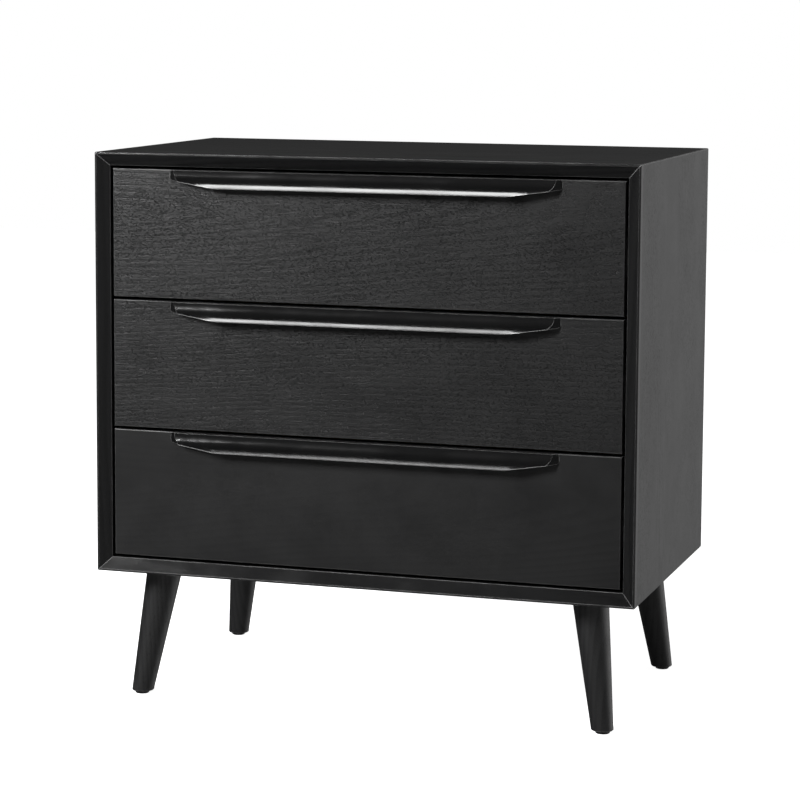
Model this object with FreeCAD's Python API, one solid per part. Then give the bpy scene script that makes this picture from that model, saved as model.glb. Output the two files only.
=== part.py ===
"""Three-drawer nightstand on splayed legs, as an assembly of its separate pieces.

Millimetres. +X is the nightstand's right as seen from the front, the drawers open towards -Y,
+Z is up. The origin is on the floor, at the centre of the footprint of the whole object.
"""
import FreeCAD, Part
import os
from math import cos, pi, radians, sin, sqrt, tan

V = FreeCAD.Vector

# Case
CASE_WIDTH = 660.0
CASE_DEPTH = 380.0
CASE_HEIGHT = 503.0
BOARD = 16.0                 # thickness of the four case panels
ARRIS = 1.6                  # rounding of the case's outer arrises
FRONT_LAND = 2.4             # flat strip left in front of the bevel
BEVEL_DEPTH = 10.0           # how far the bevelled front edge runs back at the inside
REBATE = 8.0                 # rebate for the back panel, both ways
BACK_THICKNESS = 6.0
SPLINE_THICKNESS = 3.2
SPLINE_WIDTH = 12.0
SPLINE_INSET = 9.0           # spline centre, inwards from both outer faces
SPLINE_END_GAP = 25.0        # the splines stop short of front and back

# Legs
LEG_HEIGHT = 155.0           # floor to the underside of the case
LEG_TOP_RADIUS = 21.5
LEG_FOOT_RADIUS = 12.8
LEG_SPREAD = 22.0            # each foot stands this far outside its leg's top, in X and in Y
FOOT_FROM_SIDE = 43.0
FOOT_FROM_FRONT = 35.0
FOOT_FROM_BACK = 20.0
LEG_SEAT_DROP = 9.0          # underside of the case to the leg's top, along the leg
FOOT_CHAMFER = 0.8
GLIDE_RADIUS = 8.5
GLIDE_HEIGHT = 3.5
GLIDE_STEM_RADIUS = 2.5
GLIDE_STEM_LENGTH = 14.0
PLATE_SIZE = 66.0
PLATE_CORNER = 6.0
PLATE_THICKNESS = 2.5
PLATE_BOSS_RADIUS = 17.0
PLATE_SCREW_SPACING = 54.0
HANGER_RADIUS = 4.0
HANGER_TOP_GAP = 2.0         # hanger bolt's end below the underside of the case
HANGER_LENGTH = 46.0

# Drawers
DRAWER_COUNT = 3
DRAWER_GAP = 3.5             # shadow gap round and between the fronts
FRONT_THICKNESS = 16.0
FRONT_ARRIS = 1.0
BOX_BOARD = 12.0
BOX_HEIGHT = 112.0
BOX_DEPTH = 320.0
BOX_LIFT = 16.0              # box above the lower edge of its front
BOX_CORNER_LAP = 6.0         # depth of the rebate where a box side takes the box end
BOTTOM_THICKNESS = 5.0
BOTTOM_GROOVE = 5.0
BOTTOM_LIFT = 10.0

# Pulls
PULL_LENGTH = 476.0
PULL_HEIGHT = 20.5
PULL_TIP_HEIGHT = 11.7
PULL_TAPER = 64.0            # length of each sloping end
PULL_TIP_ROUND = 4.0
PULL_END_SLANT = 1.3         # how far the end faces run in, for each mm forward
PULL_REACH = 16.8            # front of the lip, in front of the drawer front
PULL_LIP_SLOPE = 51.0        # how far the scooped front leans out at the lip, in degrees
PULL_NOSE_RADIUS = 0.7
PULL_TOP_ARRIS = 0.8
PULL_END_ROUND = 0.6         # between the scoop and each end face
FINGER_GROOVE_RADIUS = 6.0
FINGER_GROOVE_OUT = 3.0      # groove's centre, in front of the drawer front
TONGUE_TOP = 3.5             # pull's tongue, below the top edge of the drawer front
TONGUE_HEIGHT = 4.0
TONGUE_DEPTH = 6.0
TONGUE_END_GAP = 30.0

# Slides: three nested channels on each side of each drawer
SLIDE_SPACE = 12.7
SLIDE_LENGTH = 300.0
SLIDE_SETBACK = 2.0          # behind the back of the drawer front
SLIDE_LIFT = 50.0            # slide's centre line above the bottom of the drawer box
SHEET = 1.2                  # sheet steel of the slides
SLIDE_RUN_GAP = 0.4
CABINET_MEMBER_HEIGHT = 45.0
CABINET_MEMBER_REACH = 10.8
MIDDLE_RACE = 3.5            # middle member's flange together with its row of balls
DRAWER_MEMBER_REACH = 9.1

# Fasteners
HOLE_CLEARANCE = 0.05
PLATE_SCREW = dict(shank=1.9, length=13.5, head=3.8, head_height=2.0)
BACK_SCREW = dict(shank=1.6, length=17.0, head=3.2, head_height=1.8)
FRONT_SCREW = dict(shank=2.0, length=23.0, head=4.2, head_height=2.4)
RECESS_SPAN = 1.1            # cross recess in the heads, as shares of the head's radius and height
RECESS_WIDTH = 0.28
RECESS_DEPTH = 0.6
BACK_SCREW_INSET = 12.0
FRONT_SCREW_X = 240.0
FRONT_SCREW_SPREAD = 32.0

# Places that follow from the sizes above
HALF_WIDTH = CASE_WIDTH / 2
HALF_INSIDE = HALF_WIDTH - BOARD
PULL_PROUD = PULL_REACH - BEVEL_DEPTH
TOTAL_DEPTH = CASE_DEPTH + PULL_PROUD
CASE_FRONT = -TOTAL_DEPTH / 2 + PULL_PROUD
CASE_BACK = TOTAL_DEPTH / 2
CASE_BOTTOM = LEG_HEIGHT
CASE_TOP = LEG_HEIGHT + CASE_HEIGHT
INSIDE_BOTTOM = CASE_BOTTOM + BOARD
INSIDE_TOP = CASE_TOP - BOARD
FRONT_FACE = CASE_FRONT + BEVEL_DEPTH
FRONT_BACK = FRONT_FACE + FRONT_THICKNESS
FRONT_WIDTH = CASE_WIDTH - 2 * BOARD - 2 * DRAWER_GAP
FRONT_HEIGHT = (INSIDE_TOP - INSIDE_BOTTOM - (DRAWER_COUNT + 1) * DRAWER_GAP) / DRAWER_COUNT
BOX_HALF_WIDTH = HALF_INSIDE - SLIDE_SPACE
BOX_BACK = FRONT_BACK + BOX_DEPTH


def box(low, high):
    """A box between two corners."""
    size = [b - a for a, b in zip(low, high)]
    return Part.makeBox(*size, V(*low))


def prism(points, along):
    """A polygon of 3-D points, swept along a vector."""
    wire = Part.makePolygon([V(*p) for p in points] + [V(*points[0])])
    return Part.Face(wire).extrude(V(*along))


def save(name, shape):
    """Write one sub-part, or a group of like sub-parts, to its own file."""
    if not shape.isValid():
        raise RuntimeError(name + " is not a valid solid")
    shape.exportStep("parts/" + name + ".step")


def screw(seat, direction, sizes):
    """A pan-head cross-recess screw: seat is under its head, direction is the way it is driven."""
    radius = sizes["head"]
    height = sizes["head_height"]
    head = Part.makeCylinder(radius, height)
    crown = [e for e in head.Edges if e.BoundBox.ZMin > height - 0.01]
    head = head.makeFillet(0.45 * height, crown)
    recess_length = RECESS_SPAN * radius
    recess_width = RECESS_WIDTH * radius
    for size_x, size_y in ((recess_length, recess_width), (recess_width, recess_length)):
        slot_low = (-size_x / 2, -size_y / 2, height * (1 - RECESS_DEPTH))
        head = head.cut(box(slot_low, (size_x / 2, size_y / 2, height + 1)))
    shank = Part.makeCylinder(sizes["shank"], sizes["length"], V(0, 0, 0), V(0, 0, -1))
    whole = head.fuse(shank).removeSplitter()
    whole.Placement = FreeCAD.Placement(seat, FreeCAD.Rotation(V(0, 0, -1), V(*direction)))
    return whole


def screw_hole(seat, direction, sizes):
    """The clearance that a screw's shank needs."""
    length = sizes["length"] + HOLE_CLEARANCE
    return Part.makeCylinder(sizes["shank"] + HOLE_CLEARANCE, length, seat, V(*direction))


# ---- Case ----------------------------------------------------------------------------------

def case_tube():
    """The four case panels as one ring, before it is divided at the mitres."""
    outside = box((-HALF_WIDTH, CASE_FRONT, CASE_BOTTOM), (HALF_WIDTH, CASE_BACK, CASE_TOP))
    rounded = [e for e in outside.Edges if not lies_on_back(e)]
    outside = outside.makeFillet(ARRIS, rounded)
    inside = box((-HALF_INSIDE, CASE_FRONT - 1, INSIDE_BOTTOM), (HALF_INSIDE, CASE_BACK + 1, INSIDE_TOP))
    rebate = box(
        (-HALF_INSIDE - REBATE, CASE_BACK - REBATE, INSIDE_BOTTOM - REBATE),
        (HALF_INSIDE + REBATE, CASE_BACK + 1, INSIDE_TOP + REBATE),
    )
    return outside.cut([inside, rebate, front_bevel()])


def lies_on_back(edge):
    return edge.BoundBox.YMin > CASE_BACK - 0.01


def front_bevel():
    """The frustum that bevels the front edges inwards, like a picture frame."""
    def outline(inset, y):
        x = HALF_WIDTH - inset
        low = CASE_BOTTOM + inset
        high = CASE_TOP - inset
        corners = [V(-x, y, low), V(x, y, low), V(x, y, high), V(-x, y, high)]
        return Part.makePolygon(corners + corners[:1])

    front = outline(FRONT_LAND, CASE_FRONT)
    back = outline(BOARD, CASE_FRONT + BEVEL_DEPTH)
    return Part.makeLoft([front, back], True, True)


def mitre_wedge(corner_a, corner_b, inward_a, inward_b):
    """The space of one panel between its two mitre planes."""
    reach = HALF_INSIDE / 2
    points = [
        (corner_a[0], CASE_FRONT - 1, corner_a[1]),
        (corner_b[0], CASE_FRONT - 1, corner_b[1]),
        (corner_b[0] + inward_b[0] * reach, CASE_FRONT - 1, corner_b[1] + inward_b[1] * reach),
        (corner_a[0] + inward_a[0] * reach, CASE_FRONT - 1, corner_a[1] + inward_a[1] * reach),
    ]
    return prism(points, (0, CASE_DEPTH + 2, 0))


def mitre_splines():
    """One loose tongue across each mitre, square to the mitre plane."""
    splines = []
    for side in (-1, 1):
        for up in (-1, 1):
            x = side * (HALF_WIDTH - SPLINE_INSET)
            z = CASE_TOP - SPLINE_INSET if up > 0 else CASE_BOTTOM + SPLINE_INSET
            spline = box(
                (-SPLINE_WIDTH / 2, CASE_FRONT + SPLINE_END_GAP, -SPLINE_THICKNESS / 2),
                (SPLINE_WIDTH / 2, CASE_BACK - SPLINE_END_GAP, SPLINE_THICKNESS / 2),
            )
            spline.rotate(V(0, 0, 0), V(0, 1, 0), 45.0 * side * up)
            spline.translate(V(x, 0, z))
            splines.append(spline)
    return splines


def back_screw_seats():
    """Where the back panel's screws sit, on its outer face."""
    y = CASE_BACK - REBATE + BACK_THICKNESS
    low = CASE_BOTTOM + BACK_SCREW_INSET
    high = CASE_TOP - BACK_SCREW_INSET
    side = HALF_WIDTH - BACK_SCREW_INSET
    seats = []
    for x in (-0.85 * side, -0.3 * side, 0.3 * side, 0.85 * side):
        seats += [V(x, y, low), V(x, y, high)]
    for share in (0.2, 0.5, 0.8):
        z = low + share * (high - low)
        seats += [V(-side, y, z), V(side, y, z)]
    return seats


def make_case():
    splines = mitre_splines()
    seats = back_screw_seats()
    back_holes = [screw_hole(seat, (0, -1, 0), BACK_SCREW) for seat in seats]
    plate_holes = [screw_hole(seat, (0, 0, 1), PLATE_SCREW) for seat in plate_screw_seats()]
    tube = case_tube().cut(splines + back_holes)

    bottom_left = (-HALF_WIDTH, CASE_BOTTOM)
    bottom_right = (HALF_WIDTH, CASE_BOTTOM)
    top_left = (-HALF_WIDTH, CASE_TOP)
    top_right = (HALF_WIDTH, CASE_TOP)
    wedges = {
        "top_panel": mitre_wedge(top_left, top_right, (1, -1), (-1, -1)),
        "bottom_panel": mitre_wedge(bottom_left, bottom_right, (1, 1), (-1, 1)),
        "left_side_panel": mitre_wedge(bottom_left, top_left, (1, 1), (1, -1)),
        "right_side_panel": mitre_wedge(bottom_right, top_right, (-1, 1), (-1, -1)),
    }
    for name, wedge in wedges.items():
        panel = tube.common(wedge)
        if name == "bottom_panel":
            panel = panel.cut(plate_holes)
        save(name, panel)

    back = box(
        (-HALF_INSIDE - REBATE, CASE_BACK - REBATE, INSIDE_BOTTOM - REBATE),
        (HALF_INSIDE + REBATE, CASE_BACK - REBATE + BACK_THICKNESS, INSIDE_TOP + REBATE),
    )
    save("back_panel", back.cut(back_holes))
    save("back_panel_screws", Part.makeCompound([screw(seat, (0, -1, 0), BACK_SCREW) for seat in seats]))
    save("mitre_splines", Part.makeCompound(splines))


# ---- Legs ----------------------------------------------------------------------------------

def leg_places():
    """Name, foot centre on the floor, and axis end on the underside of the case, of each leg."""
    places = []
    for side_name, side in (("left", -1), ("right", 1)):
        for end_name, foot_y, outward in (
            ("front", CASE_FRONT + FOOT_FROM_FRONT, -1),
            ("rear", CASE_BACK - FOOT_FROM_BACK, 1),
        ):
            foot_x = side * (HALF_WIDTH - FOOT_FROM_SIDE)
            foot = V(foot_x, foot_y, 0)
            top = V(foot_x - side * LEG_SPREAD, foot_y - outward * LEG_SPREAD, LEG_HEIGHT)
            places.append((end_name + "_" + side_name, foot, top))
    return places


def unit(vector):
    return vector * (1 / vector.Length)


def plate_screw_seats():
    """Where the heads of the leg plates' screws bear, on the underside of each plate."""
    seats = []
    half = PLATE_SCREW_SPACING / 2
    for _, _, top in leg_places():
        for dx in (-half, half):
            for dy in (-half, half):
                seats.append(V(top.x + dx, top.y + dy, CASE_BOTTOM - PLATE_THICKNESS))
    return seats


def make_leg(foot, top):
    """A turned, tapered leg: square to its axis at the top, level with the floor at the foot."""
    down = unit(foot - top)
    length = (foot - top).Length
    taper = (LEG_TOP_RADIUS - LEG_FOOT_RADIUS) / length
    overrun = 2 * GLIDE_HEIGHT
    seat = top + down * LEG_SEAT_DROP
    cone = Part.makeCone(
        LEG_TOP_RADIUS - taper * LEG_SEAT_DROP,
        LEG_FOOT_RADIUS - taper * overrun,
        length - LEG_SEAT_DROP + overrun,
        seat,
        down,
    )
    reach = 4 * LEG_FOOT_RADIUS
    ground = box(
        (foot.x - reach, foot.y - reach, -reach),
        (foot.x + reach, foot.y + reach, GLIDE_HEIGHT),
    )
    leg = cone.cut(ground)
    sole = [e for e in leg.Edges if e.BoundBox.ZMax < GLIDE_HEIGHT + 0.01]
    leg = leg.makeChamfer(FOOT_CHAMFER, sole)
    stem_hole = Part.makeCylinder(
        GLIDE_STEM_RADIUS + HOLE_CLEARANCE,
        GLIDE_STEM_LENGTH + HOLE_CLEARANCE,
        V(foot.x, foot.y, GLIDE_HEIGHT),
    )
    bolt_hole = Part.makeCylinder(
        HANGER_RADIUS + HOLE_CLEARANCE,
        HANGER_TOP_GAP + HANGER_LENGTH + HOLE_CLEARANCE,
        top,
        down,
    )
    return leg.cut([stem_hole, bolt_hole])


def make_leg_plate(foot, top):
    """A steel plate with an angled boss that seats the leg square to its axis."""
    down = unit(foot - top)
    half = PLATE_SIZE / 2
    plate = box(
        (top.x - half, top.y - half, CASE_BOTTOM - PLATE_THICKNESS),
        (top.x + half, top.y + half, CASE_BOTTOM),
    )
    corners = [e for e in plate.Edges if abs(e.Vertexes[0].Z - e.Vertexes[1].Z) > 0.1]
    plate = plate.makeFillet(PLATE_CORNER, corners)
    rise = PLATE_BOSS_RADIUS / 2
    boss = Part.makeCylinder(PLATE_BOSS_RADIUS, LEG_SEAT_DROP + rise, top - down * rise, down)
    above = box(
        (top.x - half, top.y - half, CASE_BOTTOM),
        (top.x + half, top.y + half, CASE_BOTTOM + 2 * PLATE_BOSS_RADIUS),
    )
    bolt_hole = Part.makeCylinder(
        HANGER_RADIUS + HOLE_CLEARANCE,
        2 * PLATE_BOSS_RADIUS,
        top - down * PLATE_BOSS_RADIUS,
        down,
    )
    shank_hole = PLATE_SCREW["shank"] + 4 * HOLE_CLEARANCE
    spread = PLATE_SCREW_SPACING / 2
    screw_holes = [
        Part.makeCylinder(shank_hole, 2 * PLATE_THICKNESS, V(top.x + dx, top.y + dy, CASE_BOTTOM - 3.5))
        for dx in (-spread, spread)
        for dy in (-spread, spread)
    ]
    return plate.fuse(boss.cut(above)).cut([bolt_hole] + screw_holes).removeSplitter()


def make_glide(foot):
    """A foot glide: a disc on the floor with its stem in the leg."""
    disc = Part.makeCylinder(GLIDE_RADIUS, GLIDE_HEIGHT, V(foot.x, foot.y, 0))
    lower = [e for e in disc.Edges if e.BoundBox.ZMax < 0.01]
    disc = disc.makeChamfer(FOOT_CHAMFER, lower)
    stem = Part.makeCylinder(GLIDE_STEM_RADIUS, GLIDE_STEM_LENGTH, V(foot.x, foot.y, GLIDE_HEIGHT))
    return disc.fuse(stem).removeSplitter()


def make_legs():
    glides = []
    bolts = []
    for name, foot, top in leg_places():
        down = unit(foot - top)
        save(name + "_leg", make_leg(foot, top))
        save(name + "_leg_plate", make_leg_plate(foot, top))
        glides.append(make_glide(foot))
        bolts.append(Part.makeCylinder(HANGER_RADIUS, HANGER_LENGTH, top + down * HANGER_TOP_GAP, down))
    save("foot_glides", Part.makeCompound(glides))
    save("leg_hanger_bolts", Part.makeCompound(bolts))
    screws = [screw(seat, (0, 0, 1), PLATE_SCREW) for seat in plate_screw_seats()]
    save("leg_plate_screws", Part.makeCompound(screws))


# ---- Pulls ---------------------------------------------------------------------------------

def pull_profile(top):
    """The pull's section: a scooped front that sweeps out to a thin lip, hollow behind the lip.

    Points are (distance in front of the drawer front, distance below its top edge).
    """
    slope = radians(PULL_LIP_SLOPE)
    nose_out = PULL_REACH - PULL_NOSE_RADIUS
    nose_drop = PULL_HEIGHT - PULL_NOSE_RADIUS
    lip_out = nose_out + PULL_NOSE_RADIUS * cos(slope)
    lip_drop = nose_drop - PULL_NOSE_RADIUS * sin(slope)
    scoop_drop = lip_drop - PULL_TOP_ARRIS
    scoop_out = scoop_drop * tan(slope) / 2
    neck = lip_out - scoop_out
    groove_edge = FINGER_GROOVE_OUT + FINGER_GROOVE_RADIUS
    groove_rise = sqrt(FINGER_GROOVE_RADIUS ** 2 - FINGER_GROOVE_OUT ** 2)

    def at(out, drop):
        return V(0, FRONT_FACE - out, top - drop)

    steps = 8
    shares = [i / steps for i in range(steps + 1)]
    scoop = Part.BSplineCurve()
    scoop.interpolate([at(neck + scoop_out * s ** 2, PULL_TOP_ARRIS + scoop_drop * s) for s in shares])
    round_start = at(neck - PULL_TOP_ARRIS, 0)
    bulge = PULL_TOP_ARRIS * (1 - cos(pi / 4))
    top_arris = Part.Arc(round_start, at(neck - bulge, bulge), at(neck, PULL_TOP_ARRIS))
    nose = Part.Arc(at(lip_out, lip_drop), at(PULL_REACH, nose_drop), at(nose_out, PULL_HEIGHT))
    groove = Part.Arc(
        at(groove_edge, PULL_HEIGHT),
        at(
            FINGER_GROOVE_OUT + FINGER_GROOVE_RADIUS * cos(pi / 4),
            PULL_HEIGHT - FINGER_GROOVE_RADIUS * sin(pi / 4),
        ),
        at(0, PULL_HEIGHT - groove_rise),
    )
    edges = [
        Part.LineSegment(at(0, 0), round_start),
        top_arris,
        scoop,
        nose,
        Part.LineSegment(at(nose_out, PULL_HEIGHT), at(groove_edge, PULL_HEIGHT)),
        groove,
        Part.LineSegment(at(0, PULL_HEIGHT - groove_rise), at(0, 0)),
    ]
    return Part.Face(Part.Wire([edge.toShape() for edge in edges]))


def pull_outline(top):
    """The pull seen from the front: level top edge, sloping ends with rounded tips."""
    half = PULL_LENGTH / 2
    flat = half - PULL_TAPER
    deep = 2 * PULL_REACH
    points = [
        (-half, FRONT_FACE - deep, top),
        (half, FRONT_FACE - deep, top),
        (half, FRONT_FACE - deep, top - PULL_TIP_HEIGHT),
        (flat, FRONT_FACE - deep, top - PULL_HEIGHT),
        (-flat, FRONT_FACE - deep, top - PULL_HEIGHT),
        (-half, FRONT_FACE - deep, top - PULL_TIP_HEIGHT),
    ]
    outline = prism(points, (0, deep, 0))
    tips = [
        e for e in outline.Edges
        if e.BoundBox.YLength > deep - 1 and abs(e.CenterOfMass.x) > half - 0.01
    ]
    return outline.makeFillet(PULL_TIP_ROUND, tips)


def pull_plan(top):
    """The pull seen from above: both end faces slant in towards the lip."""
    half = PULL_LENGTH / 2
    deep = 2 * PULL_REACH
    front_half = half - PULL_END_SLANT * deep
    bottom = top - 2 * PULL_HEIGHT
    points = [
        (-half, FRONT_FACE, bottom),
        (half, FRONT_FACE, bottom),
        (front_half, FRONT_FACE - deep, bottom),
        (-front_half, FRONT_FACE - deep, bottom),
    ]
    return prism(points, (0, 0, 3 * PULL_HEIGHT))


def round_ends(moulding):
    """Round the short edges where the scoop meets the two end faces."""
    curved = [f for f in moulding.Faces if f.Surface.TypeId != "Part::GeomPlane"]
    scoop = max(curved, key=lambda f: f.Area)
    beyond = PULL_LENGTH / 2 - PULL_END_SLANT * PULL_REACH
    ends = [e for e in scoop.Edges if abs(e.CenterOfMass.x) > beyond]
    return moulding.makeFillet(PULL_END_ROUND, ends)


def tongue(top, clearance=0.0):
    """The tongue along the pull's back that is glued into the drawer front."""
    half = PULL_LENGTH / 2 - TONGUE_END_GAP
    return box(
        (-half, FRONT_FACE - clearance, top - TONGUE_TOP - TONGUE_HEIGHT),
        (half, FRONT_FACE + TONGUE_DEPTH, top - TONGUE_TOP),
    )


def make_pull(top):
    moulding = pull_profile(top)
    moulding.translate(V(-PULL_LENGTH / 2, 0, 0))
    moulding = moulding.extrude(V(PULL_LENGTH, 0, 0))
    moulding = moulding.common(pull_outline(top)).common(pull_plan(top))
    return round_ends(moulding).fuse(tongue(top)).removeSplitter()


# ---- Drawers -------------------------------------------------------------------------------

def make_front(bottom, seats):
    top = bottom + FRONT_HEIGHT
    front = box((-FRONT_WIDTH / 2, FRONT_FACE, bottom), (FRONT_WIDTH / 2, FRONT_BACK, top))
    rim = [e for e in front.Edges if e.BoundBox.YMax < FRONT_FACE + 0.01]
    front = front.makeFillet(FRONT_ARRIS, rim)
    holes = [screw_hole(seat, (0, -1, 0), FRONT_SCREW) for seat in seats]
    return front.cut([tongue(top, 1.0)] + holes)


def make_box(name, low, seats):
    """The drawer box: two sides that lap the ends, and a bottom let into grooves all round."""
    high = low + BOX_HEIGHT
    inside = BOX_HALF_WIDTH - BOX_BOARD
    lap = inside + BOX_CORNER_LAP
    groove = inside + BOTTOM_GROOVE
    front_inside = FRONT_BACK + BOX_BOARD
    back_inside = BOX_BACK - BOX_BOARD
    bottom = box(
        (-groove, front_inside - BOTTOM_GROOVE, low + BOTTOM_LIFT),
        (groove, back_inside + BOTTOM_GROOVE, low + BOTTOM_LIFT + BOTTOM_THICKNESS),
    )
    box_front = box((-lap, FRONT_BACK, low), (lap, front_inside, high))
    box_back = box((-lap, back_inside, low), (lap, BOX_BACK, high))
    holes = [screw_hole(seat, (0, -1, 0), FRONT_SCREW) for seat in seats]
    save(name + "_box_bottom", bottom)
    save(name + "_box_front", box_front.cut([bottom] + holes))
    save(name + "_box_back", box_back.cut(bottom))
    for side_name, side in (("left", -1), ("right", 1)):
        xs = sorted((side * inside, side * BOX_HALF_WIDTH))
        board = box((xs[0], FRONT_BACK, low), (xs[1], BOX_BACK, high))
        save(name + "_box_" + side_name + "_side", board.cut([bottom, box_front, box_back]))


def channel(side, web_at, web_thickness, reach, half_height, flange, centre):
    """A channel along Y; web_at and reach are distances in from the case's side panel."""
    start = FRONT_BACK + SLIDE_SETBACK
    end = start + SLIDE_LENGTH

    def part(depth_a, depth_b, z_a, z_b):
        xs = sorted((side * (HALF_INSIDE - depth_a), side * (HALF_INSIDE - depth_b)))
        return box((xs[0], start, centre + z_a), (xs[1], end, centre + z_b))

    web = part(web_at, web_at + web_thickness, -half_height, half_height)
    upper = part(web_at, reach, half_height - flange, half_height)
    lower = part(web_at, reach, -half_height, flange - half_height)
    return web.fuse([upper, lower]).removeSplitter()


def make_slides(name, low):
    """The three nested members of the slide on each side of one drawer."""
    centre = low + SLIDE_LIFT
    outer = CABINET_MEMBER_HEIGHT / 2
    middle = outer - SHEET - SLIDE_RUN_GAP
    inner = middle - MIDDLE_RACE - SLIDE_RUN_GAP
    middle_web = SHEET + SLIDE_RUN_GAP
    inner_start = SLIDE_SPACE - SHEET
    inner_reach = SLIDE_SPACE - DRAWER_MEMBER_REACH
    for side_name, side in (("left", -1), ("right", 1)):
        stem = name + "_" + side_name
        fixed = channel(side, 0, SHEET, CABINET_MEMBER_REACH, outer, SHEET, centre)
        between = channel(side, middle_web, SHEET, CABINET_MEMBER_REACH, middle, MIDDLE_RACE, centre)
        save(stem + "_slide_cabinet_member", fixed)
        save(stem + "_slide_middle_member", between)
        web = channel(side, inner_start, SHEET, inner_reach, inner, SHEET, centre)
        save(stem + "_slide_drawer_member", web)


def make_drawer(index, name):
    step = FRONT_HEIGHT + DRAWER_GAP
    bottom = INSIDE_BOTTOM + DRAWER_GAP + (DRAWER_COUNT - 1 - index) * step
    low = bottom + BOX_LIFT
    centre = low + BOX_HEIGHT / 2
    seats = [
        V(x, FRONT_BACK + BOX_BOARD, centre + dz)
        for x in (-FRONT_SCREW_X, FRONT_SCREW_X)
        for dz in (-FRONT_SCREW_SPREAD, FRONT_SCREW_SPREAD)
    ]
    save(name + "_front", make_front(bottom, seats))
    save(name + "_pull", make_pull(bottom + FRONT_HEIGHT))
    make_box(name, low, seats)
    screws = [screw(seat, (0, -1, 0), FRONT_SCREW) for seat in seats]
    save(name + "_front_screws", Part.makeCompound(screws))
    make_slides(name, low)


def main():
    os.makedirs("parts", exist_ok=True)
    make_case()
    make_legs()
    for index, name in enumerate(("top_drawer", "middle_drawer", "bottom_drawer")):
        make_drawer(index, name)


main()
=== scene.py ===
from math import radians

import bpy
from mathutils import Matrix, Vector


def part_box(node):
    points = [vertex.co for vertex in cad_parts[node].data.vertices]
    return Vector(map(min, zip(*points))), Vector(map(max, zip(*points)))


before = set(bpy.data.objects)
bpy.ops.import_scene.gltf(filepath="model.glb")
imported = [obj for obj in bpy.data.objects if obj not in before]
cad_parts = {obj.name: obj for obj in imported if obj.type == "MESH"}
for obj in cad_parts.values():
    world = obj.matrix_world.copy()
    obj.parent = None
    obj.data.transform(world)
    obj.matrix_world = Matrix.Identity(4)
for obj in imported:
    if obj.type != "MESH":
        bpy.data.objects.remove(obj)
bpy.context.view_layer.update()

DRAWERS = ("top_drawer", "middle_drawer", "bottom_drawer")
SIDES = ("left", "right")
ENDS = ("front", "rear")
SLIDE_MEMBERS = ("cabinet", "middle", "drawer")

# Lacquer on the outside woodwork, as linear reflectance
LACQUER_DARK = (0.0042, 0.0042, 0.0044, 1.0)
LACQUER_LIGHT = (0.0085, 0.0085, 0.0087, 1.0)
PORE_BLACK = (0.0018, 0.0018, 0.0019, 1.0)
VENEER_RINGS = 0.0065        # spacing of the growth rings
# Pale grey painted onto the upward-facing arrises as a painted highlight
PAINTED_HIGHLIGHT = (0.4000, 0.4000, 0.4000, 1.0)

# Clear-sealed wood of the drawer boxes
BOX_WOOD_DARK = (0.42, 0.27, 0.13, 1.0)
BOX_WOOD_LIGHT = (0.62, 0.45, 0.26, 1.0)

# Roughness of the case's flat faces and of its bevels, which lie in front of the drawer fronts
CASE_ROUGHNESS = 0.38
BEVEL_ROUGHNESS = 0.20
BEVEL_FILL = 0.85            # how far the pores are closed on the bevels, from 0 to 1
FRONT_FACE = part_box("top_drawer_front")[0][1]

# Direction, sharpness and strength of each paler part of the room, and the room's own grey
WORLD_GLOWS = (
    ((0.80, 0.60, 0.12), 5.0, 1.42),
    ((0.32, -0.92, 0.22), 3.0, 0.22),
)
ROOM_GREY = 0.05

# Softboxes: place, target, width, height and power in watts
SOFTBOXES = {
    "overhead": ((-0.52, -0.21, 2.2), (-0.52, -0.21, 0.0), 0.8, 0.20, 8.5),
    "front_left": ((-1.5, -1.95, 1.6), (0.0, 0.0, 0.35), 0.3, 0.8, 89.0),
}

FLOOR_HALF_WIDTH = 6.0
FLOOR_LIFT = 0.95            # glow that only the camera sees, so the floor runs into the background

# Camera, in front and to the right: metres, then degrees, then millimetres of lens and sensor
CAMERA_PLACE = (0.980, -3.116, 0.830)
CAMERA_YAW = 17.61
CAMERA_PITCH = 6.62
CAMERA_ROLL = 0.33
CAMERA_LENS = 121.4
SENSOR = 36.0
CAMERA_SHIFT_Y = -0.10       # in widths of the picture

# Turns that bring each grain direction onto the X axis of the wood pattern
GRAIN_TURNS = {
    "x": (0.0, 0.0, 0.0),
    "y": (0.0, 0.0, radians(-90)),
    "z": (0.0, radians(90), 0.0),
}


# ---- Node helpers --------------------------------------------------------------------------

def add(tree, kind, inputs=None, **settings):
    """A node with its settings; each input is a value or a socket to link from."""
    node = tree.nodes.new(kind)
    for name, value in settings.items():
        setattr(node, name, value)
    for key, value in (inputs or {}).items():
        if isinstance(value, bpy.types.NodeSocket):
            tree.links.new(value, node.inputs[key])
        else:
            node.inputs[key].default_value = value
    return node


def math(tree, operation, a, b=0.0, c=0.0):
    return add(tree, "ShaderNodeMath", {0: a, 1: b, 2: c}, operation=operation).outputs[0]


def vector_math(tree, operation, a, b):
    return add(tree, "ShaderNodeVectorMath", {0: a, 1: b}, operation=operation)


def product(tree, *factors):
    """The product of values, at least two."""
    result = factors[0]
    for factor in factors[1:]:
        result = math(tree, "MULTIPLY", result, factor)
    return result


def total(tree, *shares):
    """The sum of values, each times its weight."""
    result = 0.0
    for value, weight in shares:
        result = math(tree, "MULTIPLY_ADD", value, weight, result)
    return result


def dot(tree, a, b):
    return vector_math(tree, "DOT_PRODUCT", a, b).outputs["Value"]


def remap(tree, value, low, high, to_low, to_high):
    """Map one range onto another along a smooth step, clamped at both ends."""
    node = add(
        tree,
        "ShaderNodeMapRange",
        {"Value": value, "From Min": low, "From Max": high, "To Min": to_low, "To Max": to_high},
        interpolation_type="SMOOTHSTEP",
    )
    return node.outputs["Result"]


def noise(tree, vector, scale, detail=2.0, roughness=0.5):
    return add(
        tree,
        "ShaderNodeTexNoise",
        {"Vector": vector, "Scale": scale, "Detail": detail, "Roughness": roughness},
    )


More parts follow.
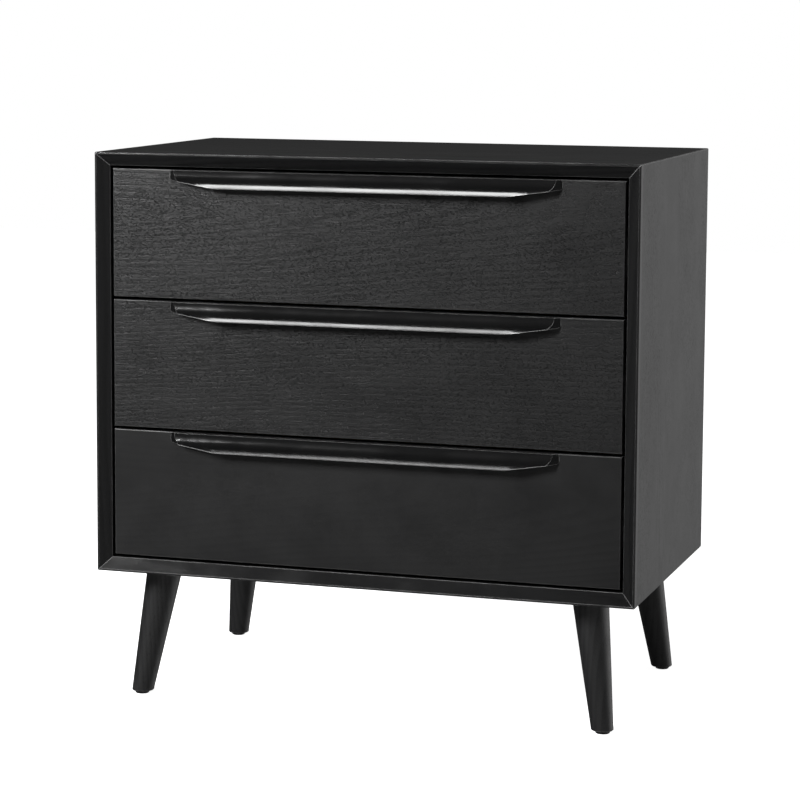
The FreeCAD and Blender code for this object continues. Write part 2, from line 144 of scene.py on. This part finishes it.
def mapping(tree, vector, location=(0, 0, 0), rotation=(0, 0, 0), scale=(1, 1, 1)):
    node = add(
        tree,
        "ShaderNodeMapping",
        {"Vector": vector, "Location": location, "Rotation": rotation, "Scale": scale},
    )
    return node.outputs["Vector"]


def component(tree, vector, axis):
    return add(tree, "ShaderNodeSeparateXYZ", {"Vector": vector}).outputs[axis]


def mix_colour(tree, factor, a, b):
    node = add(tree, "ShaderNodeMix", data_type="RGBA")
    for key, value in (("Factor", factor), ("A", a), ("B", b)):
        socket = next(s for s in node.inputs if s.name == key and s.enabled)
        if isinstance(value, bpy.types.NodeSocket):
            tree.links.new(value, socket)
        else:
            socket.default_value = value
    return next(s for s in node.outputs if s.enabled)


def new_material(name):
    material = bpy.data.materials.new(name)
    material.use_nodes = True
    return material, material.node_tree, material.node_tree.nodes["Principled BSDF"]


def bump(tree, height, distance):
    node = add(tree, "ShaderNodeBump", {"Height": height, "Distance": distance, "Strength": 1.0})
    return node.outputs["Normal"]


def object_coordinates(tree):
    return add(tree, "ShaderNodeTexCoord").outputs["Object"]


# ---- Materials -----------------------------------------------------------------------------

def growth_rings(tree, along, pith, tilt, ring_spacing):
    """Rings round a tilted pith that wanders: a slow rise across each ring, then a quick fall."""
    board = mapping(tree, along, location=pith, rotation=(0.0, tilt[0], tilt[1]))
    stretched = mapping(tree, board, scale=(0.16, 1.0, 1.0))
    wander = noise(tree, stretched, 7.0, 2.0).outputs["Color"]
    centred = vector_math(tree, "SUBTRACT", wander, (0.5, 0.5, 0.5)).outputs[0]
    shift = add(tree, "ShaderNodeVectorMath", {0: centred, "Scale": 0.055}, operation="SCALE").outputs[0]
    bent = vector_math(tree, "ADD", board, shift).outputs[0]
    across = vector_math(tree, "MULTIPLY", bent, (0.0, 1.0, 1.0)).outputs[0]
    radius = add(tree, "ShaderNodeVectorMath", {0: across}, operation="LENGTH").outputs["Value"]
    phase = math(tree, "FRACT", math(tree, "DIVIDE", radius, ring_spacing))
    return product(tree, remap(tree, phase, 0.0, 0.75, 0.0, 1.0), remap(tree, phase, 0.88, 1.0, 1.0, 0.0))


def open_pores(tree, along, rings, pore_spacing):
    """Short pits along the grain, in patches, and more of them in the early part of each ring."""
    pore_space = mapping(tree, along, scale=(0.24, 1.0, 1.0))
    pore_noise = noise(tree, pore_space, 1.0 / pore_spacing, 1.0, 0.6).outputs["Fac"]
    crowding = remap(tree, rings, 0.0, 0.6, 0.05, -0.02)
    pores = remap(tree, math(tree, "ADD", pore_noise, crowding), 0.56, 0.68, 0.0, 1.0)
    patches = noise(tree, mapping(tree, along, scale=(0.3, 1.0, 1.0)), 16.0, 2.0).outputs["Fac"]
    return product(tree, pores, remap(tree, patches, 0.38, 0.62, 0.3, 1.0))


def painted_edge_highlight(tree, along, reach):
    """A painted highlight along the arrises: 0 on the flats, up to 1 along the edges that look upward,
    where the overhead light falls.
    """
    rounded = add(tree, "ShaderNodeBevel", {"Radius": reach}, samples=4).outputs["Normal"]
    true = add(tree, "ShaderNodeNewGeometry").outputs["True Normal"]
    edge = remap(tree, dot(tree, rounded, true), 0.995, 0.88, 0.0, 1.0)
    patchy = remap(tree, noise(tree, along, 45.0, 3.0, 0.7).outputs["Fac"], 0.25, 0.65, 0.35, 1.0)
    upward = remap(tree, component(tree, rounded, "Z"), 0.0, 0.3, 0.25, 1.0)
    return product(tree, edge, patchy, upward)


def tinted(colour, tone):
    """A colour made darker or lighter, with its alpha back at 1."""
    return tuple(tone * channel for channel in colour[:3]) + (1.0,)


def lacquer_colour(tree, along, rings, pores, fibre, edge_highlight, tone):
    cloud = noise(tree, mapping(tree, along, scale=(0.3, 1.0, 1.0)), 9.0, 3.0).outputs["Fac"]
    figure = total(tree, (rings, 0.35), (cloud, 0.45), (fibre, 0.4))
    shade = remap(tree, figure, 0.15, 0.9, 0.0, 1.0)
    colour = mix_colour(tree, shade, tinted(LACQUER_DARK, tone), tinted(LACQUER_LIGHT, tone))
    colour = mix_colour(tree, product(tree, pores, 0.8), colour, PORE_BLACK)
    # Painted highlight: pale grey laid along the upward-facing arrises
    return mix_colour(tree, edge_highlight, colour, PAINTED_HIGHLIGHT)


def lacquer_sheen(tree, along, rings, pores, edge_highlight, roughness, bevel, bevel_roughness):
    """Roughness with smudges: duller in the pores, glossier in late wood and along the arrises that carry
    the painted highlight.
    """
    smudge = noise(tree, along, 14.0, 3.0, 0.6).outputs["Fac"]
    sheen = remap(tree, smudge, 0.3, 0.7, roughness - 0.035, roughness + 0.035)
    sheen = total(tree, (sheen, 1.0), (bevel, bevel_roughness - roughness))
    return total(tree, (sheen, 1.0), (pores, 0.18), (rings, -0.02), (edge_highlight, -0.14))


def lacquered_wood(name, grain, pith, tilt=(0.02, 0.06), tone=1.0, roughness=0.43,
                   bevel_roughness=None, pore_spacing=0.0009, pore_depth=0.0001, filled=0.0,
                   highlight_strength=1.0, highlight_reach=0.0016):
    """Black lacquer over open-pored wood, with faint figure and a satin sheen.

    tone scales the colour, and filled says how far the pores are closed, from 0 to 1. With a
    bevel_roughness, the wood in front of the drawer fronts has that roughness and closed pores.
    """
    material, tree, shader = new_material(name)
    along = mapping(tree, object_coordinates(tree), rotation=GRAIN_TURNS[grain])
    rings = growth_rings(tree, along, pith, tilt, VENEER_RINGS)
    pores = product(tree, open_pores(tree, along, rings, pore_spacing), 1.0 - filled)
    bevel = 0.0
    if bevel_roughness is None:
        bevel_roughness = roughness
    else:
        position = add(tree, "ShaderNodeNewGeometry").outputs["Position"]
        bevel = math(tree, "LESS_THAN", component(tree, position, "Y"), FRONT_FACE)
        pores = product(tree, pores, math(tree, "MULTIPLY_ADD", bevel, -BEVEL_FILL, 1.0))
    fibre = noise(tree, mapping(tree, along, scale=(0.02, 1.0, 1.0)), 1900.0, 1.0).outputs["Fac"]
    # Painted highlight on the arrises, scaled by the strength given for this wood
    edge_highlight = product(tree, painted_edge_highlight(tree, along, highlight_reach), highlight_strength)

    colour = lacquer_colour(tree, along, rings, pores, fibre, edge_highlight, tone)
    sheen = lacquer_sheen(tree, along, rings, pores, edge_highlight, roughness, bevel, bevel_roughness)
    relief = total(tree, (fibre, 0.16), (pores, -1.0), (rings, 0.035))
    tree.links.new(colour, shader.inputs["Base Color"])
    tree.links.new(sheen, shader.inputs["Roughness"])
    tree.links.new(bump(tree, relief, pore_depth), shader.inputs["Normal"])
    return material


def plain_wood(name, grain, dark, light, ring_spacing=0.004):
    """Clear-sealed light wood, for the insides of the drawers."""
    material, tree, shader = new_material(name)
    along = mapping(tree, object_coordinates(tree), rotation=GRAIN_TURNS[grain])
    rings = growth_rings(tree, along, (0.3, 0.03, -0.05), (0.03, 0.05), ring_spacing)
    pores = open_pores(tree, along, rings, 0.0012)
    fibre = noise(tree, mapping(tree, along, scale=(0.03, 1.0, 1.0)), 900.0, 2.0).outputs["Fac"]
    cloud = noise(tree, along, 5.0, 2.0).outputs["Fac"]
    figure = total(tree, (rings, 0.5), (fibre, 0.3), (cloud, 0.3))
    colour = mix_colour(tree, remap(tree, figure, 0.2, 1.0, 0.0, 1.0), light, dark)
    colour = mix_colour(tree, product(tree, pores, 0.35), colour, dark)
    tree.links.new(colour, shader.inputs["Base Color"])
    tree.links.new(remap(tree, fibre, 0.2, 0.8, 0.49, 0.63), shader.inputs["Roughness"])
    relief = total(tree, (fibre, 0.4), (pores, -1.0))
    tree.links.new(bump(tree, relief, 0.00008), shader.inputs["Normal"])
    return material


def painted_board(name):
    """Matt black paint on fibreboard: a faint roller stipple and dusty patches."""
    material, tree, shader = new_material(name)
    place = object_coordinates(tree)
    stipple = noise(tree, place, 700.0, 2.0, 0.6).outputs["Fac"]
    patches = noise(tree, place, 6.0, 4.0, 0.6).outputs["Fac"]
    dust = remap(tree, patches, 0.35, 0.7, 0.0, 1.0)
    colour = mix_colour(tree, dust, (0.014, 0.014, 0.015, 1), (0.024, 0.024, 0.025, 1))
    tree.links.new(colour, shader.inputs["Base Color"])
    tree.links.new(remap(tree, patches, 0.3, 0.7, 0.55, 0.70), shader.inputs["Roughness"])
    tree.links.new(bump(tree, stipple, 0.00012), shader.inputs["Normal"])
    return material


def plated_steel(name, tint, roughness):
    """Zinc plate: fine drawing lines along Y and cloudy passivation."""
    material, tree, shader = new_material(name)
    place = object_coordinates(tree)
    lines = noise(tree, mapping(tree, place, scale=(1.0, 0.02, 1.0)), 2600.0, 2.0).outputs["Fac"]
    cloud = noise(tree, place, 60.0, 3.0).outputs["Fac"]
    passivation = remap(tree, cloud, 0.3, 0.7, 0.0, 1.0)
    colour = mix_colour(tree, passivation, tinted(tint, 0.78), tinted(tint, 1.0))
    tree.links.new(colour, shader.inputs["Base Color"])
    shader.inputs["Metallic"].default_value = 1.0
    drawn = remap(tree, lines, 0.3, 0.7, roughness - 0.07, roughness + 0.09)
    tree.links.new(drawn, shader.inputs["Roughness"])
    tree.links.new(bump(tree, lines, 0.00002), shader.inputs["Normal"])
    return material


def powder_coat(name):
    """Black powder coat with its orange-peel texture."""
    material, tree, shader = new_material(name)
    place = object_coordinates(tree)
    peel = noise(tree, place, 900.0, 2.0).outputs["Fac"]
    cloud = noise(tree, place, 40.0, 2.0).outputs["Fac"]
    colour = mix_colour(tree, cloud, (0.012, 0.012, 0.012, 1), (0.022, 0.022, 0.022, 1))
    tree.links.new(colour, shader.inputs["Base Color"])
    tree.links.new(remap(tree, peel, 0.3, 0.7, 0.40, 0.55), shader.inputs["Roughness"])
    tree.links.new(bump(tree, peel, 0.00008), shader.inputs["Normal"])
    return material


def moulded_nylon(name):
    """Black nylon with a fine spark-eroded texture and scuffs."""
    material, tree, shader = new_material(name)
    place = object_coordinates(tree)
    grit = noise(tree, place, 3000.0, 2.0).outputs["Fac"]
    scuff = noise(tree, place, 160.0, 4.0, 0.7).outputs["Fac"]
    scuffed = remap(tree, scuff, 0.55, 0.75, 0.0, 1.0)
    colour = mix_colour(tree, scuffed, (0.016, 0.016, 0.016, 1), (0.05, 0.05, 0.05, 1))
    tree.links.new(colour, shader.inputs["Base Color"])
    tree.links.new(remap(tree, grit, 0.3, 0.7, 0.45, 0.62), shader.inputs["Roughness"])
    tree.links.new(bump(tree, grit, 0.00004), shader.inputs["Normal"])
    return material


def dress(node, material):
    """Put a material on every slot of a CAD node."""
    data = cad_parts[node].data
    for index in range(len(data.materials)):
        data.materials[index] = material
    if not data.materials:
        data.materials.append(material)


def dress_case():
    """Case panels: grain direction, then the pith's place and tilt, so that each has its own figure."""
    panels = {
        "top_panel": ("top_veneer", "x", (0.1, 0.04, -0.62), (0.01, 0.05)),
        "bottom_panel": ("bottom_veneer", "x", (0.4, -0.03, -0.11), (0.01, 0.04)),
        "left_side_panel": ("left_veneer", "z", (0.2, -0.05, -0.30), (0.03, 0.01)),
        "right_side_panel": ("right_veneer", "z", (0.1, 0.05, 0.36), (0.03, 0.01)),
    }
    for panel, wood in panels.items():
        dress(panel, lacquered_wood(*wood, roughness=CASE_ROUGHNESS, bevel_roughness=BEVEL_ROUGHNESS))
    dress("back_panel", painted_board("back_paint"))


def dress_drawer_faces():
    """Fronts and pulls. The two upper fronts have open grain, the lowest is nearly filled."""
    fronts = {
        "top_drawer": ((0.15, 0.20, -0.60), 0.0011),
        "middle_drawer": ((-0.10, 0.17, -0.27), 0.0011),
        "bottom_drawer": ((0.30, 0.22, -0.28), 0.00001),
    }
    # The pull's arrises carry a strong painted highlight (strength 2.5, narrow reach)
    pull = lacquered_wood(
        "pull_lacquer", "x", (0.0, 0.03, -0.05), tone=0.5, roughness=0.14,
        pore_spacing=0.0008, pore_depth=0.00001, filled=0.9, highlight_strength=2.5, highlight_reach=0.0009,
    )
    for drawer, (pith, pore_depth) in fronts.items():
        veneer = lacquered_wood(drawer + "_veneer", "x", pith, (0.05, 0.10), pore_depth=pore_depth)
        dress(drawer + "_front", veneer)
        dress(drawer + "_pull", pull)


def dress_drawer_boxes():
    box_side = plain_wood("drawer_side_wood", "y", BOX_WOOD_DARK, BOX_WOOD_LIGHT)
    box_end = plain_wood("drawer_end_wood", "x", BOX_WOOD_DARK, BOX_WOOD_LIGHT)
    ply = plain_wood("drawer_bottom_veneer", "x", (0.50, 0.36, 0.20, 1), (0.68, 0.53, 0.34, 1), 0.009)
    dress("mitre_splines", box_side)
    for drawer in DRAWERS:
        dress(drawer + "_box_front", box_end)
        dress(drawer + "_box_back", box_end)
        dress(drawer + "_box_bottom", ply)
        for side in SIDES:
            dress(drawer + "_box_" + side + "_side", box_side)


def dress_legs():
    # tone=2.0 paints the legs lighter than the case, standing in for light that reaches them under the
    # case
    leg = lacquered_wood("leg_lacquer", "z", (0.0, 0.03, 0.04), tone=2.0, roughness=0.36)
    coat = powder_coat("plate_powder_coat")
    for end in ENDS:
        for side in SIDES:
            dress(end + "_" + side + "_leg", leg)
            dress(end + "_" + side + "_leg_plate", coat)
    dress("foot_glides", moulded_nylon("glide_nylon"))


def dress_hardware():
    slide = plated_steel("slide_zinc", (0.62, 0.63, 0.65), 0.32)
    screw = plated_steel("screw_zinc", (0.60, 0.61, 0.63), 0.28)
    for node in ("back_panel_screws", "leg_hanger_bolts", "leg_plate_screws"):
        dress(node, screw)
    for drawer in DRAWERS:
        dress(drawer + "_front_screws", screw)
        for side in SIDES:
            for member in SLIDE_MEMBERS:
                dress(drawer + "_" + side + "_slide_" + member + "_member", slide)


# ---- Floor, light and camera ---------------------------------------------------------------

def make_floor():
    """A pale floor. Its own reflection is kept out of the satin fronts, as a dark cloth would."""
    half = FLOOR_HALF_WIDTH
    mesh = bpy.data.meshes.new("floor")
    corners = [(-half, -half, 0), (half, -half, 0), (half, half, 0), (-half, half, 0)]
    mesh.from_pydata(corners, [], [(0, 1, 2, 3)])
    floor = bpy.data.objects.new("floor", mesh)
    bpy.context.scene.collection.objects.link(floor)
    material, tree, shader = new_material("floor_paper")
    shade = noise(tree, object_coordinates(tree), 1.5, 2.0).outputs["Fac"]
    colour = mix_colour(tree, shade, (0.90, 0.90, 0.90, 1), (0.94, 0.94, 0.94, 1))
    tree.links.new(colour, shader.inputs["Base Color"])
    shader.inputs["Roughness"].default_value = 0.9
    shader.inputs["Specular IOR Level"].default_value = 0.1
    shader.inputs["Emission Color"].default_value = (1.0, 1.0, 1.0, 1.0)
    is_eye = add(tree, "ShaderNodeLightPath").outputs["Is Camera Ray"]
    tree.links.new(product(tree, is_eye, FLOOR_LIFT), shader.inputs["Emission Strength"])
    mesh.materials.append(material)
    floor.visible_glossy = False


def softbox(name, place, target, width, height, power):
    """A rectangular area light that faces a target."""
    data = bpy.data.lights.new(name, "AREA")
    data.shape = "RECTANGLE"
    data.size = width
    data.size_y = height
    data.energy = power
    light = bpy.data.objects.new(name, data)
    light.location = place
    light.rotation_mode = "QUATERNION"
    light.rotation_quaternion = (Vector(target) - Vector(place)).to_track_quat("-Z", "Y")
    bpy.context.scene.collection.objects.link(light)


def make_world():
    """White for the eye; for light and reflections a dim room, paler behind on the right and in front."""
    world = bpy.data.worlds.new("studio")
    world.use_nodes = True
    tree = world.node_tree
    background = tree.nodes["Background"]
    direction = add(tree, "ShaderNodeTexCoord").outputs["Generated"]
    room = ROOM_GREY
    for axis, sharpness, strength in WORLD_GLOWS:
        facing = dot(tree, direction, Vector(axis).normalized())
        glow = math(tree, "POWER", math(tree, "MAXIMUM", facing, 0.0), sharpness)
        room = math(tree, "ADD", product(tree, glow, strength), room)
    grey = add(tree, "ShaderNodeCombineColor", {0: room, 1: room, 2: room}).outputs[0]
    is_eye = add(tree, "ShaderNodeLightPath").outputs["Is Camera Ray"]
    shown = mix_colour(tree, is_eye, grey, (1.0, 1.0, 1.0, 1.0))
    tree.links.new(shown, background.inputs["Color"])
    bpy.context.scene.world = world


def make_camera():
    data = bpy.data.cameras.new("camera")
    data.lens = CAMERA_LENS
    data.sensor_width = SENSOR
    data.shift_y = CAMERA_SHIFT_Y
    camera = bpy.data.objects.new("camera", data)
    turn = Matrix.Rotation(radians(CAMERA_YAW), 4, "Z")
    tip = Matrix.Rotation(radians(90 - CAMERA_PITCH), 4, "X")
    roll = Matrix.Rotation(radians(CAMERA_ROLL), 4, "Z")
    camera.matrix_world = Matrix.Translation(CAMERA_PLACE) @ turn @ tip @ roll
    bpy.context.scene.collection.objects.link(camera)
    bpy.context.scene.camera = camera


bpy.context.scene.view_settings.view_transform = "Standard"
make_camera()
make_world()
for light_name, settings in SOFTBOXES.items():
    softbox(light_name, *settings)
make_floor()
dress_case()
dress_drawer_faces()
dress_drawer_boxes()
dress_legs()
dress_hardware()
